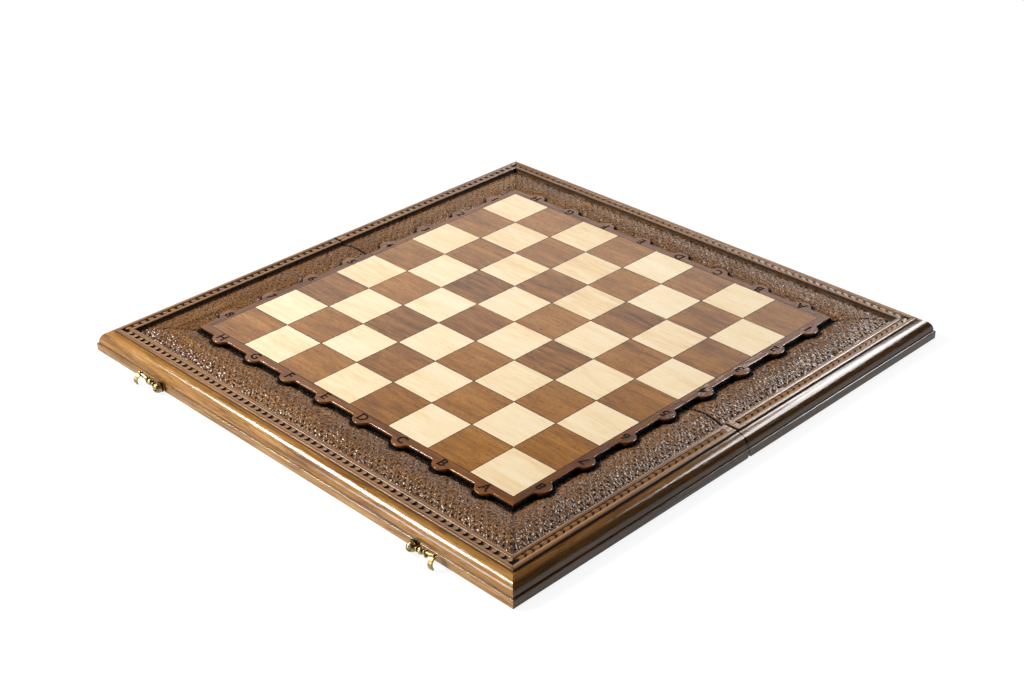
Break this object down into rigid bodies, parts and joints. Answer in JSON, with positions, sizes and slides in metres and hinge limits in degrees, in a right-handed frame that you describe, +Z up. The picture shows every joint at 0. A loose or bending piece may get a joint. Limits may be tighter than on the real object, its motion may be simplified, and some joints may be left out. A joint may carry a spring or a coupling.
{
  "type": "chess and backgammon board",
  "caption": "Folding wooden chess board with a carved border and brass hooks; it closes into a shallow case with a backgammon board inside.",
  "frame": {"origin": "on the table under the middle of the open board", "axes": "+X along the fold, +Y from the hook edge to the rear edge, +Z up out of the chess field"},
  "size_m": [0.5, 0.5204, 0.022],
  "materials": {
    "rail_walnut": "golden brown walnut, clear satin lacquer",
    "carved_walnut": "carved and punched walnut, dark stain in the hollows",
    "plate_walnut": "walnut, clear lacquer",
    "light_inlay": "maple veneer, clear gloss lacquer",
    "dark_inlay": "walnut veneer, clear gloss lacquer",
    "line_wood": "dark stringing, lacquered",
    "floor_walnut": "walnut veneered panel, satin lacquer",
    "brass": "aged polished cast brass",
    "screw_steel": "brass plated steel"
  },
  "bodies": {
    "front_half": {"front_long_rail": "rail_walnut", "front_left_rail": "rail_walnut", "front_right_rail": "rail_walnut", "front_hinge_rail": "rail_walnut", "front_tray_floor": "floor_walnut", "front_light_points": "light_inlay", "front_dark_points": "dark_inlay", "front_long_border": "carved_walnut", "front_left_border": "carved_walnut", "front_right_border": "carved_walnut", "front_field_plate": "plate_walnut", "front_light_squares": "light_inlay", "front_dark_squares": "dark_inlay", "front_field_lines": "line_wood", "front_hinge_leaves": "brass", "front_hinge_screws": "screw_steel", "front_hinge_pins": "screw_steel", "left_hook_screw": "brass", "right_hook_screw": "brass"},
    "hinge_links": {"hinge_links": "brass"},
    "rear_half": {"rear_long_rail": "rail_walnut", "rear_left_rail": "rail_walnut", "rear_right_rail": "rail_walnut", "rear_hinge_rail": "rail_walnut", "rear_tray_floor": "floor_walnut", "rear_light_points": "light_inlay", "rear_dark_points": "dark_inlay", "rear_long_border": "carved_walnut", "rear_left_border": "carved_walnut", "rear_right_border": "carved_walnut", "rear_field_plate": "plate_walnut", "rear_light_squares": "light_inlay", "rear_dark_squares": "dark_inlay", "rear_field_lines": "line_wood", "rear_hinge_leaves": "brass", "rear_hinge_screws": "screw_steel", "rear_hinge_pins": "screw_steel", "catch_studs": "brass"},
    "left_hook": {"left_hook": "brass"},
    "right_hook": {"right_hook": "brass"}
  },
  "joints": [
    {"name": "fold_front_pivots", "type": "hinge", "parent": "front_half", "child": "hinge_links", "pos_m": [0, -0.00375, 0.0035], "axis": [-1, 0, 0], "range_deg": [0, 90]},
    {"name": "fold_rear_pivots", "type": "hinge", "parent": "hinge_links", "child": "rear_half", "pos_m": [0, 0.00375, 0.0035], "axis": [-1, 0, 0], "range_deg": [0, 90]},
    {"name": "left_hook_swing", "type": "hinge", "parent": "front_half", "child": "left_hook", "pos_m": [-0.154, -0.25, 0.0049], "axis": [0, -1, 0], "range_deg": [-80.5, 99.5]},
    {"name": "right_hook_swing", "type": "hinge", "parent": "front_half", "child": "right_hook", "pos_m": [0.154, -0.25, 0.0049], "axis": [0, 1, 0], "range_deg": [-80.5, 99.5]}
  ],
  "couplings": [
    {"joint": "fold_front_pivots", "follows": "fold_rear_pivots", "ratio": 1}
  ]
}
